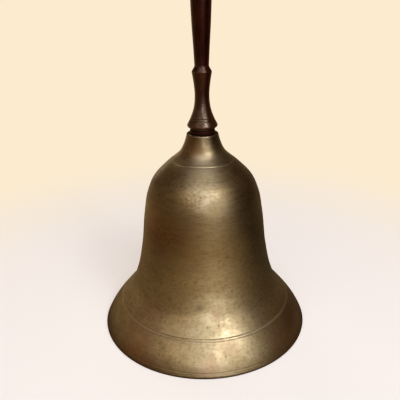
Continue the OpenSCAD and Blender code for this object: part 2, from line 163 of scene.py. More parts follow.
# aged bell brass: cast, turned on a lathe and left bare. Brown tarnish and finer films mottle it and
# dull its shine, redder towards the lip; rings from the tool run round it, small pits hold dirt, the
# turned lines and the edge of the crown are rubbed bright, and the lip is dark. Light is painted into
# the colour too: a pale band on the neck and pale patches on the shoulder, flare and lip are painted
# highlights, the pale lines on the flare's grooves at the sides are part painted highlight, the dark
# lines in them in front are part painted shade, and the shoulder's sides carry painted shade.
bellBrass = {
    "bare": "#c5b18b", "roughLow": 0.41, "roughHigh": 0.51, "coat": 0.15, "coatRough": 0.3,
    # films: size in mm, length round the bell in mm, detail, noise range, most cover, share of
    # that cover below the shoulder, colour
    "films": {
        "mottle": (5, 8, 6, (0.36, 0.7), 0.45, 1, "#998055"),
        "grain": (1.1, 1.5, 3, (0.46, 0.72), 0.34, 1, "#6b5233"),
        "ring": (0.6, 8, 3, (0.5, 0.76), 0.34, 0.4, "#57432a"),
        "scratch": (0.5, 30, 2, (0.62, 0.8), 0.25, 0.6, "#cdbd98"),
    },
    "filmBroken": 0.6, "shoulderFrom": 48, "shoulderTo": 64,
    # brown tarnish, which thickens from the flare up to the shoulder
    "tarnish": "#715b3f", "tarnishLow": 25, "tarnishHigh": 57, "tarnishCover": 0.47,
    # red film: patch size in mm, noise range, cover, and what the noise gains towards the lip, from
    # redHigh down to redLow, and from right to left
    "red": "#ae846a", "redMm": 30, "redDetail": 4, "redFrom": 0.52, "redTo": 0.76, "redCover": 0.7,
    "redHigh": 20, "redLow": 1, "redLipGain": 0.14,
    "redRight": 10, "redRightGain": -0.1, "redLeft": -40, "redLeftGain": 0.06,
    # bands round the bell: height, half width in mm, strength, colour; the pale band on the neck is a
    # painted highlight. The broken ones come and go, the next ones show in front only or at the sides
    # only, and the last paints shade on the shoulder's sides
    "bands": [(97, 8, 0.5, "#5e4a30"), (87, 5, 0.28, "#d8c6a4"), (0, 7, 0.42, "#6b563b")],
    "brokenBands": [(85.3, 0.3, 0.2, "#cdbb9c"), (97.4, 0.5, 0.35, "#cdbb9c"), (0.4, 0.8, 0.4, "#5a4630")],
    # in front, dark lines in the grooves, part dirt and part painted shade, with a pale line above them
    "frontBands": [(13.4, 0.25, 0.35, "#2a1c0e"), (14.3, 0.25, 0.45, "#2a1c0e"),
                   (14.7, 0.3, 0.3, "#d8c8a4")],
    # at the sides, a pale line on the grooves, part wear and part painted highlight
    "sideWearAndHighlightBands": [(13.9, 0.6, 0.65, "#eadcbc")], "sideFrom": 14, "sideTo": 32,
    # painted shade on the shoulder's sides
    "flankShadeBands": [(73, 8.5, 0.45, "#54380f")], "flankFrom": 11, "flankTo": 22,
    # dark stains, red-brown patches and pale painted highlights on the front: sideways, height, reach in
    # mm, strength, colour
    "stainsAndHighlights": [(-2, 26, 2.4, 0.55, "#4a3620"), (6.2, 18.6, 0.7, 0.65, "#3a2814"),
               (8.5, 18.4, 0.6, 0.6, "#3a2814"), (3.8, 16.6, 0.6, 0.5, "#3a2814"),
               (9, 8.2, 0.7, 0.6, "#3a2814"), (4.3, 7.8, 0.6, 0.5, "#3a2814"),
               (-33, 7, 10, 0.8, "#c28e6c"), (-5.5, 90, 7, 0.7, "#8a5c42"), (41, 11, 7, 0.35, "#80563c"),
               # the pale ones below are painted highlights on the flare, lip and shoulder
               (9.5, 20.5, 3.4, 0.35, "#efdcae"), (9, 15.5, 2.8, 0.35, "#efdcae"),
               (5.5, 9.5, 3, 0.4, "#efdcae"), (-3.5, 75.5, 6.5, 0.85, "#ead6b0"),
               (2.5, 75, 5, 0.35, "#ead6b0"), (-16, 55, 18, 0.55, "#7d4f24")],
    # bands, stains and painted highlights: share of their width at full strength, the red noise where
    # they break up, the least that is kept there, and how many mm to each side of the middle the front
    # ends in
    "core": 0.3, "keptFrom": 0.32, "keptTo": 0.6, "keptLeast": 0.15, "frontEnd": 2,
    # the grain noise that shows through the stains and painted highlights, and the least of them on it
    "speckleFrom": 0.42, "speckleTo": 0.62, "speckleLeast": 0.25,
    # pits: spacing in mm, from full to clear in shares of the spacing, cover
    "pit": "#2a1c0e", "pitMm": 6, "pitFrom": 0.03, "pitTo": 0.09, "pitCover": 0.5,
    "inside": "#5d4a31", "insideCover": 0.75, "insideRough": 0.1,
    "neckLow": 82, "neckHigh": 90, "neckPolish": 0.03,
    "grainRelief": 0.6, "bump": 0.5, "bumpMm": 0.03,
}


def agedBellBrass():
    material, tree = newMaterial("agedBellBrass")
    place = addNode(tree, "TexCoord", {}, "Object")
    height = addNode(tree, "SeparateXYZ", {0: place}, "Z")
    thick = addNode(tree, "MapRange", {
        "Value": height, "From Min": bellBrass["tarnishLow"] * mm, "From Max": bellBrass["tarnishHigh"] * mm,
        "To Max": bellBrass["tarnishCover"]})
    tone = addNode(tree, "Mix", {
        0: thick, 6: bellBrass["bare"], 7: bellBrass["tarnish"]}, 2, data_type="RGBA")
    noises = {}
    for name, (size, length, detail, (low, high), cover, lowShare, colour) in bellBrass["films"].items():
        squeeze = size / length
        around = addNode(tree, "Mapping", {"Vector": place, "Scale": (squeeze, squeeze, 1)})
        noises[name] = addNode(tree, "TexNoise", {
            "Vector": around, "Scale": perMm(size), "Detail": detail,
            "Roughness": bellBrass["filmBroken"]}, "Fac")
        most = addNode(tree, "MapRange", {
            "Value": height, "From Min": bellBrass["shoulderFrom"] * mm,
            "From Max": bellBrass["shoulderTo"] * mm, "To Min": cover * lowShare, "To Max": cover})
        mask = addNode(tree, "MapRange", {
            "Value": noises[name], "From Min": low, "From Max": high, "To Max": most})
        tone = addNode(tree, "Mix", {0: mask, 6: tone, 7: colour}, 2, data_type="RGBA")
    # the red film: broad patches, more of them near the lip and on one side
    patch = addNode(tree, "TexNoise", {
        "Vector": place, "Scale": perMm(bellBrass["redMm"]), "Detail": bellBrass["redDetail"]}, "Fac")
    nearLip = addNode(tree, "MapRange", {
        "Value": height, "From Min": bellBrass["redHigh"] * mm, "From Max": bellBrass["redLow"] * mm,
        "To Max": bellBrass["redLipGain"]})
    across = addNode(tree, "SeparateXYZ", {0: place}, "X")
    toLeft = addNode(tree, "MapRange", {
        "Value": across, "From Min": bellBrass["redRight"] * mm, "From Max": bellBrass["redLeft"] * mm,
        "To Min": bellBrass["redRightGain"], "To Max": bellBrass["redLeftGain"]})
    gain = addNode(tree, "Math", {0: nearLip, 1: toLeft}, operation="ADD")
    redness = addNode(tree, "Math", {0: patch, 1: gain}, operation="ADD")
    mask = addNode(tree, "MapRange", {
        "Value": redness, "From Min": bellBrass["redFrom"], "From Max": bellBrass["redTo"],
        "To Max": bellBrass["redCover"]})
    tone = addNode(tree, "Mix", {0: mask, 6: tone, 7: bellBrass["red"]}, 2, data_type="RGBA")
    # where the bands show: all round, in patches, in front, at the sides, or on the flanks, where they paint
    # shade
    kept = addNode(tree, "MapRange", {
        "Value": patch, "From Min": bellBrass["keptFrom"], "From Max": bellBrass["keptTo"],
        "To Min": bellBrass["keptLeast"]})
    sideways = addNode(tree, "Math", {0: across}, operation="ABSOLUTE")
    atSide = addNode(tree, "MapRange", {
        "Value": sideways, "From Min": bellBrass["sideFrom"] * mm, "From Max": bellBrass["sideTo"] * mm,
        "To Max": kept})
    inFront = addNode(tree, "Math", {0: kept, 1: atSide}, operation="SUBTRACT")
    # the flank mask, where the last band paints shade
    flankShade = addNode(tree, "MapRange", {
        "Value": sideways, "From Min": bellBrass["flankFrom"] * mm, "From Max": bellBrass["flankTo"] * mm})
    shares = {"bands": 1.0, "brokenBands": kept, "frontBands": inFront, "sideWearAndHighlightBands": atSide,
              "flankShadeBands": flankShade}
    bands = [(*band, share) for key, share in shares.items() for band in bellBrass[key]]
    for at, half, strength, colour, share in bands:
        off = addNode(tree, "Math", {0: height, 1: at * mm}, operation="SUBTRACT")
        away = addNode(tree, "Math", {0: off}, operation="ABSOLUTE")
        mask = addNode(tree, "MapRange", {
            "Value": away, "From Min": bellBrass["core"] * half * mm, "From Max": half * mm,
            "To Min": strength, "To Max": 0.0})
        cover = addNode(tree, "Math", {0: mask, 1: share}, operation="MULTIPLY")
        tone = addNode(tree, "Mix", {0: cover, 6: tone, 7: colour}, 2, data_type="RGBA")
    # stains and painted highlights on the half that faces front, with the dark grain showing through them
    facing = addNode(tree, "MapRange", {
        "Value": across.node.outputs["Y"], "From Min": bellBrass["frontEnd"] * mm,
        "From Max": -bellBrass["frontEnd"] * mm, "To Max": kept})
    speckle = addNode(tree, "MapRange", {
        "Value": noises["grain"], "From Min": bellBrass["speckleFrom"], "From Max": bellBrass["speckleTo"],
        "To Min": 1.0, "To Max": bellBrass["speckleLeast"]})
    facing = addNode(tree, "Math", {0: facing, 1: speckle}, operation="MULTIPLY")
    flat = addNode(tree, "CombineXYZ", {"X": across, "Z": height})
    for x, z, reach, strength, colour in bellBrass["stainsAndHighlights"]:
        away = addNode(tree, "VectorMath", {
            0: flat, 1: (x * mm, 0, z * mm)}, "Value", operation="DISTANCE")
        mask = addNode(tree, "MapRange", {
            "Value": away, "From Min": bellBrass["core"] * reach * mm, "From Max": reach * mm,
            "To Min": strength, "To Max": 0.0})
        cover = addNode(tree, "Math", {0: mask, 1: facing}, operation="MULTIPLY")
        tone = addNode(tree, "Mix", {0: cover, 6: tone, 7: colour}, 2, data_type="RGBA")
    pit = addNode(tree, "TexVoronoi", {
        "Vector": place, "Scale": perMm(bellBrass["pitMm"])}, "Distance")
    pitMask = addNode(tree, "MapRange", {
        "Value": pit, "From Min": bellBrass["pitFrom"], "From Max": bellBrass["pitTo"],
        "To Min": bellBrass["pitCover"], "To Max": 0.0})
    tone = addNode(tree, "Mix", {0: pitMask, 6: tone, 7: bellBrass["pit"]}, 2, data_type="RGBA")
    # the inside was never polished
    inside = addNode(tree, "Attribute", {}, "Fac", attribute_name="inside")
    mask = addNode(tree, "Math", {0: inside, 1: bellBrass["insideCover"]}, operation="MULTIPLY")
    tone = addNode(tree, "Mix", {0: mask, 6: tone, 7: bellBrass["inside"]}, 2, data_type="RGBA")
    rough = addNode(tree, "MapRange", {
        "Value": noises["mottle"], "From Min": noiseLow, "From Max": noiseHigh,
        "To Min": bellBrass["roughLow"], "To Max": bellBrass["roughHigh"]})
    rough = addNode(tree, "Math", {
        0: inside, 1: bellBrass["insideRough"], 2: rough}, operation="MULTIPLY_ADD")
    # hands have rubbed the neck smoother
    held = addNode(tree, "MapRange", {
        "Value": height, "From Min": bellBrass["neckLow"] * mm, "From Max": bellBrass["neckHigh"] * mm,
        "To Max": bellBrass["neckPolish"]})
    rough = addNode(tree, "Math", {0: rough, 1: held}, operation="SUBTRACT")
    relief = addNode(tree, "Math", {
        0: noises["grain"], 1: bellBrass["grainRelief"], 2: noises["ring"]}, operation="MULTIPLY_ADD")
    dented = addNode(tree, "Math", {0: relief, 1: pitMask}, operation="SUBTRACT")
    bump = addNode(tree, "Bump", {
        "Strength": bellBrass["bump"], "Distance": bellBrass["bumpMm"] * mm, "Height": dented})
    shader = addNode(tree, "BsdfPrincipled", {
        "Base Color": tone, "Metallic": 1.0, "Roughness": rough, "Normal": bump,
        "Coat Weight": bellBrass["coat"], "Coat Roughness": bellBrass["coatRough"]})
    addNode(tree, "OutputMaterial", {"Surface": shader})
    return material


# stained hardwood: turned, stained red-brown close to black, and varnished. Long fine grain shows
# faintly, the edges of the base, the bead and the knob are rubbed paler, wax gives the browner base a
# soft sheen, and the grip is worn dull.
handleWood = {
    "dark": "#220702", "light": "#4d1b09", "grainFrom": 0.35, "grainTo": 0.7,
    "grainMm": 0.5, "grainLengthMm": 14, "grainDetail": 5, "grainBroken": 0.6, "grainWander": 0.4,
    "base": "#3b2606", "baseLow": 104, "baseHigh": 116, "baseCover": 0.75, "waxGloss": 0.75,
    "varnish": "#ffe2c2", "roughLow": 0.3, "roughHigh": 0.35, "bump": 0.02, "bumpMm": 0.03,
    "gripLow": 126, "gripHigh": 132, "gripGloss": 0.45,
    # rubbed edges: height, half width in mm, strength
    "rubbed": "#63351f", "edges": [(101.2, 0.9, 0.5), (124.7, 0.7, 0.5), (184.9, 1.6, 0.35)],
}


def stainedHardwood():
    material, tree = newMaterial("stainedHardwood")
    place = addNode(tree, "TexCoord", {}, "Object")
    height = addNode(tree, "SeparateXYZ", {0: place}, "Z")
    squeeze = handleWood["grainMm"] / handleWood["grainLengthMm"]
    along = addNode(tree, "Mapping", {"Vector": place, "Scale": (1, 1, squeeze)})
    grain = addNode(tree, "TexNoise", {
        "Vector": along, "Scale": perMm(handleWood["grainMm"]), "Detail": handleWood["grainDetail"],
        "Roughness": handleWood["grainBroken"], "Distortion": handleWood["grainWander"]}, "Fac")
    share = addNode(tree, "MapRange", {
        "Value": grain, "From Min": handleWood["grainFrom"], "From Max": handleWood["grainTo"]})
    tone = addNode(tree, "Mix", {
        0: share, 6: handleWood["dark"], 7: handleWood["light"]}, 2, data_type="RGBA")
    # the stain is browner on the base
    onBase = addNode(tree, "MapRange", {
        "Value": height, "From Min": handleWood["baseLow"] * mm, "From Max": handleWood["baseHigh"] * mm,
        "To Min": handleWood["baseCover"], "To Max": 0.0})
    tone = addNode(tree, "Mix", {0: onBase, 6: tone, 7: handleWood["base"]}, 2, data_type="RGBA")
    for at, half, strength in handleWood["edges"]:
        off = addNode(tree, "Math", {0: height, 1: at * mm}, operation="SUBTRACT")
        away = addNode(tree, "Math", {0: off}, operation="ABSOLUTE")
        mask = addNode(tree, "MapRange", {
            "Value": away, "From Min": 0.0, "From Max": half * mm, "To Min": strength, "To Max": 0.0})
        worn = addNode(tree, "Math", {0: mask, 1: grain}, operation="MULTIPLY")
        tone = addNode(tree, "Mix", {
            0: worn, 6: tone, 7: handleWood["rubbed"]}, 2, data_type="RGBA")
    rough = addNode(tree, "MapRange", {
        "Value": grain, "From Min": noiseLow, "From Max": noiseHigh,
        "To Min": handleWood["roughLow"], "To Max": handleWood["roughHigh"]})
    # hands have worn the varnish off the grip, and wax adds gloss on the base
    gloss = addNode(tree, "MapRange", {
        "Value": height, "From Min": handleWood["gripLow"] * mm, "From Max": handleWood["gripHigh"] * mm,
        "To Min": 1.0, "To Max": handleWood["gripGloss"]})
    gloss = addNode(tree, "Math", {0: onBase, 1: handleWood["waxGloss"], 2: gloss}, operation="MULTIPLY_ADD")
    bump = addNode(tree, "Bump", {
        "Strength": handleWood["bump"], "Distance": handleWood["bumpMm"] * mm, "Height": grain})
    shader = addNode(tree, "BsdfPrincipled", {
        "Base Color": tone, "Roughness": rough, "Normal": bump, "Specular IOR Level": gloss,
        "Specular Tint": handleWood["varnish"]})
    addNode(tree, "OutputMaterial", {"Surface": shader})
    return material


# dark leather: a washer cut from vegetable-tanned hide, fibrous at its edge, dulled with wax
washerLeather = {
    "dark": "#160502", "light": "#54200f", "fibreMm": 0.6, "fibreDetail": 5, "fibreBroken": 0.65,
    "roughLow": 0.46, "roughHigh": 0.6, "gloss": 0.3, "bump": 0.5, "bumpMm": 0.08,
}


def darkLeather():
    material, tree = newMaterial("darkLeather")
    place = addNode(tree, "TexCoord", {}, "Object")
    fibre = addNode(tree, "TexNoise", {
        "Vector": place, "Scale": perMm(washerLeather["fibreMm"]), "Detail": washerLeather["fibreDetail"],
        "Roughness": washerLeather["fibreBroken"]}, "Fac")
    tone = addNode(tree, "Mix", {
        0: fibre, 6: washerLeather["dark"], 7: washerLeather["light"]}, 2, data_type="RGBA")
    rough = addNode(tree, "MapRange", {
        "Value": fibre, "From Min": noiseLow, "From Max": noiseHigh,
        "To Min": washerLeather["roughLow"], "To Max": washerLeather["roughHigh"]})
    bump = addNode(tree, "Bump", {
        "Strength": washerLeather["bump"], "Distance": washerLeather["bumpMm"] * mm, "Height": fibre})
    shader = addNode(tree, "BsdfPrincipled", {
        "Base Color": tone, "Roughness": rough, "Normal": bump, "Specular IOR Level": washerLeather["gloss"]})
    addNode(tree, "OutputMaterial", {"Surface": shader})
    return material


# bare metal fittings: one tone over another in soft blotches, fine tool marks, edges rubbed bright
fittings = {
    # light tone, dark tone, rubbed tone, blotch size in mm, middle roughness
    "turnedBrass": ("#bca67c", "#7d6947", "#d8c6a0", 3, 0.36),
    "drawnSteel": ("#a9a9ab", "#6c6a69", "#c6c6c8", 2, 0.38),
    "forgedIron": ("#6b6663", "#2f2b29", "#8f8b88", 4, 0.52),
}
# what they share: noise of the blotches, pointiness of a rubbed edge and how far it is rubbed, roughness
# to each side of the middle one, tool marks
fittingMarks = {
    "blotchDetail": 5, "blotchBroken": 0.6, "blotchFrom": 0.35, "blotchTo": 0.68,
    "edgeFrom": 0.53, "edgeTo": 0.6, "edgeCover": 0.7, "roughSpread": 0.08,
    "markMm": 0.4, "markDetail": 3, "bump": 0.25, "bumpMm": 0.03,
}


def fittingMetal(name):
    light, dark, rubbed, blotchMm, rough = fittings[name]
    material, tree = newMaterial(name)
    place = addNode(tree, "TexCoord", {}, "Object")
    blotch = addNode(tree, "TexNoise", {
        "Vector": place, "Scale": perMm(blotchMm), "Detail": fittingMarks["blotchDetail"],
        "Roughness": fittingMarks["blotchBroken"]}, "Fac")
    share = addNode(tree, "MapRange", {
        "Value": blotch, "From Min": fittingMarks["blotchFrom"], "From Max": fittingMarks["blotchTo"]})
    tone = addNode(tree, "Mix", {0: share, 6: light, 7: dark}, 2, data_type="RGBA")
    edge = addNode(tree, "NewGeometry", {}, "Pointiness")
    worn = addNode(tree, "MapRange", {
        "Value": edge, "From Min": fittingMarks["edgeFrom"], "From Max": fittingMarks["edgeTo"],
        "To Max": fittingMarks["edgeCover"]})
    tone = addNode(tree, "Mix", {0: worn, 6: tone, 7: rubbed}, 2, data_type="RGBA")
    roughness = addNode(tree, "MapRange", {
        "Value": blotch, "From Min": noiseLow, "From Max": noiseHigh,
        "To Min": rough - fittingMarks["roughSpread"], "To Max": rough + fittingMarks["roughSpread"]})
    marks = addNode(tree, "TexNoise", {
        "Vector": place, "Scale": perMm(fittingMarks["markMm"]), "Detail": fittingMarks["markDetail"]}, "Fac")
    bump = addNode(tree, "Bump", {
        "Strength": fittingMarks["bump"], "Distance": fittingMarks["bumpMm"] * mm, "Height": marks})
    shader = addNode(tree, "BsdfPrincipled", {
        "Base Color": tone, "Metallic": 1.0, "Roughness": roughness, "Normal": bump})
    addNode(tree, "OutputMaterial", {"Surface": shader})
    return material


brass = agedBellBrass()
wood = stainedHardwood()
leather = darkLeather()
turnedBrass, drawnSteel, forgedIron = [fittingMetal(name) for name in fittings]
print("materials made")


# the bell: knots are (height, radius) of the outside, lines are (height, width, depth)
shell = {
    "knots": [(0.8, 51), (7.5, 47.25), (14.5, 41.75), (20.5, 36.75), (27, 34), (42, 30.5), (60, 28.25),
              (70, 26.25), (77, 23), (83, 17.25), (89, 10.5), (93.5, 8.25), (97.2, 7.25)],
    "height": 97.5, "ceiling": 84.5, "boreR": 1.65, "lipRound": 0.8, "crownRound": 0.3, "crownEase": 0.25,
    "lipWall": 3.4, "waistWall": 2.4, "waistLow": 27,
    "lines": [(2.6, 0.4, 0.06), (13.4, 0.35, 0.08), (14.3, 0.35, 0.1), (85.3, 0.35, 0.1)], "lineBlunt": 0.8,
    # the inside ends at innerLow; the foot's points are (out from there, height)
    "innerLow": 0.5, "foot": [(0.12, 0.2), (0.5, 0.0)],
    "outerSteps": 150, "lineSteps": 11, "lipSteps": 6, "crownSteps": 4, "innerSteps": 60, "sides": 256,
    # slow waves left by casting and use: count round, phase, size in mm; they lean 1 radian in waveRise
    "waves": [(2, 0.4, 0.05), (3, 2.1, 0.03), (5, 1.0, 0.02)], "waveRise": 40,
    # dents: angle in degrees from +X, height, reach, depth
    "dents": [(-118, 9, 7, 0.12), (-70, 47, 9, 0.1), (-40, 6, 5, 0.1), (-101, 66, 8, 0.08),
              (60, 12, 8, 0.12)],
    # waves and dents start outside trueR and grow over fadeR, and over fadeUp from the lip
    "trueR": 8, "fadeR": 8, "fadeUp": 2,
    # points further in than insideIn, up to insideOver above the ceiling, are on the inside
    "insideIn": 1.2, "insideOver": 1,
}


# outside from the lip to the crown, down the bore to the ceiling, then the inside one wall in
def shellOutline():
    fine = np.linspace(shell["lipRound"], shell["height"] - shell["crownRound"], shell["outerSteps"])
    near = [np.linspace(at - w, at + w, shell["lineSteps"]) for at, w, _ in shell["lines"]]
    z = np.unique(np.concatenate([fine, *near]))
    r, slope = turnedCurve(shell["knots"], z)
    # each turned line is a blunt V, cut square to the surface
    cut = sum(depth * np.clip(1 - np.abs(z - at) / (w / 2), 0, 1) ** shell["lineBlunt"]
              for at, w, depth in shell["lines"])
    tilt = np.sqrt(1 + slope ** 2)
    outer = np.column_stack([r - cut / tilt, z + cut * slope / tilt])
    quarter = np.linspace(-np.pi / 2, 0, shell["lipSteps"])[:-1]
    lip = np.column_stack([shell["knots"][0][1] + shell["lipRound"] * (np.cos(quarter) - 1),
                           shell["lipRound"] * (1 + np.sin(quarter))])
    zIn = np.linspace(shell["ceiling"], shell["innerLow"], shell["innerSteps"])
    rIn, slopeIn = turnedCurve(shell["knots"], zIn)
    thin = np.clip(zIn / shell["waistLow"], 0, 1)
    wall = shell["lipWall"] + (shell["waistWall"] - shell["lipWall"]) * thin
    inner = np.column_stack([rIn - wall * np.sqrt(1 + slopeIn ** 2), zIn])
    crown = easedOutline([outer[-1], (outer[-1, 0] - shell["crownRound"], shell["height"]),
                          (shell["boreR"], shell["height"]), (shell["boreR"], shell["ceiling"]),
                          inner[0]], shell["crownEase"], shell["crownSteps"], closed=False)
    foot = np.array([inner[-1, 0], 0]) + np.array(shell["foot"])
    return np.vstack([lip, outer, crown[1:-1], inner, foot])


# the outline carried round, then moved in and out along the radius by waves and dents
def shellGrid():
    grid = carriedRound(shellOutline(), shell["sides"])
    angle = np.arctan2(grid[..., 1], grid[..., 0])
    radius = np.hypot(grid[..., 0], grid[..., 1])
    z = grid[..., 2]
    move = sum(size * np.sin(count * angle + turn + z / shell["waveRise"])
               for count, turn, size in shell["waves"])
    for degrees, height, reach, depth in shell["dents"]:
        swing = np.angle(np.exp(1j * (angle - math.radians(degrees))))
        move = move - depth * np.exp(-((swing * radius) ** 2 + (z - height) ** 2) / reach ** 2)
    # crown, bore and the flat of the lip stay true, and nothing passes the lip's own size
    fade = np.clip((radius - shell["trueR"]) / shell["fadeR"], 0, 1) * np.clip(z / shell["fadeUp"], 0, 1)
    grown = np.minimum(radius + move * fade, shell["knots"][0][1])
    return grid * np.stack([grown / radius, grown / radius, np.ones_like(z)], axis=-1)


bell = makePiece("shell_cast", [shellGrid()], True, brass, "bell", "bell_shell", sharp=50)
# 1 on the inside of the wall, where the metal is rough and dark, and 0 outside
bellPoints = np.empty(3 * len(bell.data.vertices))
bell.data.vertices.foreach_get("co", bellPoints)
bellX, bellY, bellZ = bellPoints.reshape(-1, 3).T / mm
outsideZ = np.clip(bellZ, shell["knots"][0][0], shell["knots"][-1][0])
outsideR = turnedCurve(shell["knots"], outsideZ)[0]
isInside = (np.hypot(bellX, bellY) < outsideR - shell["insideIn"]) & (
    bellZ < shell["ceiling"] + shell["insideOver"])
bell.data.attributes.new("inside", "FLOAT", "POINT").data.foreach_set("value", isInside.astype(float))


# the handle, with heights above its seat
grip = {
    "seat": 99.4, "boreR": 1.65, "footR": 5.5, "footH": 0.8, "footCut": 0.2,
    "baseR": 6.9, "baseRound": 1.0, "baseTilt": 27,
    "baseKnots": [(4.8, 5.5), (9, 3.95), (15, 3.25), (20.5, 3.65), (25, 4.4)],
    "beadTop": 25.5, "beadSwell": 0.02, "beadEase": 0.45,
    # turned lines on the base: height, half width, depth; the first two are cut, the rest are tool marks
    "lines": [(4.2, 0.3, 0.15), (5.2, 0.3, 0.15), (6.2, 0.25, 0.05), (6.9, 0.25, 0.05), (7.7, 0.25, 0.04),
              (11.9, 0.25, 0.03)],
    "gripKnots": [(27.7, 3.15), (35.2, 3.5), (45.2, 4.1), (61.7, 4.55), (79.5, 3.7)],
    "knobR": 5.7, "knobRise": 6, "knobTopR": 4.3, "knobTopRise": 3.4,
    "edgeSteps": 14, "lineSteps": 7, "baseSteps": 90, "beadSteps": 7, "gripSteps": 70, "knobSteps": 16,
    "sides": 96,
}


# foot, rounded edge, flared base and stem, bead, grip, then a knob that swells out in an S curve
# and rounds over to a flat top
def handleOutline():
    tilt = math.radians(grip["baseTilt"])
    edgeZ = grip["footH"] + grip["baseRound"]
    turn = np.linspace(-np.pi / 2, tilt, grip["edgeSteps"])
    edge = np.column_stack([grip["baseR"] + grip["baseRound"] * (np.cos(turn) - 1),
                            edgeZ + grip["baseRound"] * np.sin(turn)])
    foot = np.array([(grip["boreR"], 0), (grip["footR"] - grip["footCut"], 0),
                     (grip["footR"], grip["footCut"]), (grip["footR"], grip["footH"])])
    knots = [(edge[-1, 1], edge[-1, 0]), *grip["baseKnots"]]
    near = [np.linspace(at - w, at + w, grip["lineSteps"]) for at, w, _ in grip["lines"]]
    zBase = np.unique(np.concatenate([np.linspace(knots[0][0], knots[-1][0], grip["baseSteps"]), *near]))
    rBase = turnedCurve(knots, zBase)[0]
    rBase = rBase - sum(depth * np.clip(1 - np.abs(zBase - at) / w, 0, 1) for at, w, depth in grip["lines"])
    zGrip = np.linspace(grip["gripKnots"][0][0], grip["gripKnots"][-1][0], grip["gripSteps"])
    rGrip = turnedCurve(grip["gripKnots"], zGrip)[0]
    bead = easedOutline([(rBase[-1], zBase[-1]), (rBase[-1] + grip["beadSwell"], grip["beadTop"]),
                         (rGrip[0], zGrip[0]), (rGrip[1], zGrip[1])],
                        grip["beadEase"], grip["beadSteps"], closed=False)
    s = np.linspace(0, 1, grip["knobSteps"])
    knobZ = zGrip[-1] + grip["knobRise"]
    knobUnder = np.column_stack([rGrip[-1] + (grip["knobR"] - rGrip[-1]) * (1 - np.cos(np.pi * s)) / 2,
                                 zGrip[-1] + grip["knobRise"] * s])
    knobOver = np.column_stack([grip["knobTopR"] + (grip["knobR"] - grip["knobTopR"]) * np.cos(np.pi / 2 * s),
                                knobZ + grip["knobTopRise"] * np.sin(np.pi / 2 * s)])
    top = np.array([[grip["boreR"], knobZ + grip["knobTopRise"]]])
    outline = np.vstack([foot, edge, np.column_stack([rBase, zBase])[1:], bead[1:-1],
                         np.column_stack([rGrip, zGrip])[1:], knobUnder[1:], knobOver[1:], top])
    return outline + np.array([0, grip["seat"]])


makePiece("handle_turned", [carriedRound(handleOutline(), grip["sides"])], True, wood, "bell",
          "handle", sharp=55)


# washers: outer radius, hole radius, low and high face, edge rounding, finish, slot, node
washers = {
    "foot_leather": (5.7, 1.65, 97.5, 99.4, 0.5, leather, "dark_leather", "foot_washer"),
    "crown_leather": (7, 1.65, 83.1, 84.5, 0.4, leather, "dark_leather", "crown_washer"),
    "clamp_disc": (5.5, 1.65, 82.1, 83.1, 0.2, drawnSteel, "drawn_steel", "clamp_washer"),
    "finial_disc": (3.8, 1.65, 188.3, 189.1, 0.2, turnedBrass, "turned_brass", "finial_washer"),
}
washerSteps, washerSides = 6, 72
for name, (outerR, holeR, low, high, ease, finish, slot, node) in washers.items():
    edge = easedOutline([(holeR, low), (outerR, low), (outerR, high), (holeR, high)], ease, washerSteps)
    makePiece(name, [carriedRound(edge, washerSides)], True, finish, "bell", node)


# acorn nut on the rod's end: base, waist and ball, with a blind hole from below
acorn = {
    "low": 189.1, "baseR": 3.2, "waistLow": 190.5, "waistR": 2.5, "waistTop": 191.7, "ballR": 3.5,
    "boreR": 1.5, "boreTop": 194.5, "ease": 0.25, "ballSteps": 24, "sides": 64,
}
ballLow = math.asin(acorn["waistR"] / acorn["ballR"])
ballAngle = np.linspace(ballLow - np.pi / 2, np.pi / 2, acorn["ballSteps"])[1:]
ballCentre = acorn["waistTop"] + acorn["ballR"] * math.cos(ballLow)
acornFoot = easedOutline([(0, acorn["boreTop"]), (acorn["boreR"], acorn["boreTop"]),
                          (acorn["boreR"], acorn["low"]), (acorn["baseR"], acorn["low"]),
                          (acorn["baseR"], acorn["waistLow"]), (acorn["waistR"], acorn["waistLow"]),
                          (acorn["waistR"], acorn["waistTop"])], acorn["ease"], closed=False)
acornBall = np.column_stack([acorn["ballR"] * np.cos(ballAngle),
                             ballCentre + acorn["ballR"] * np.sin(ballAngle)])
acornBall[-1, 0] = 0
makePiece("finial_acorn", [carriedRound(np.vstack([acornFoot, acornBall]), acorn["sides"])], False,
          turnedBrass, "bell", "finial_nut")


# hexagon nut: the radius at each angle is the smaller of the hexagon's and a chamfer cone's
hexNut = {
    "flats": 5.5, "low": 79.7, "high": 82.1, "chamfer": 0.3, "boreR": 1.5, "chamferSteps": 5, "sides": 96,
}
nutAngle = np.arange(hexNut["sides"]) * (2 * np.pi / hexNut["sides"])
hexR = hexNut["flats"] / 2 / np.cos(nutAngle % (np.pi / 3) - np.pi / 6)
chamferStep = np.linspace(0, hexNut["chamfer"], hexNut["chamferSteps"])
nutZ = np.concatenate([hexNut["low"] + chamferStep, hexNut["high"] - chamferStep[::-1]])
coneR = hexR.max() - hexNut["chamfer"] + np.concatenate([chamferStep, chamferStep[::-1]])
nutR = np.minimum(hexR[None, :], coneR[:, None])
nutGrid = np.stack([nutR * np.cos(nutAngle), nutR * np.sin(nutAngle), nutZ[:, None] + 0 * nutAngle], axis=-1)
nutBore = carriedRound(np.array([(hexNut["boreR"], hexNut["high"]), (hexNut["boreR"], hexNut["low"])]),
                       hexNut["sides"])
makePiece("clamp_hexagon", [np.vstack([nutGrid, nutBore])], True, drawnSteel, "bell",
          "clamp_nut", sharp=25)


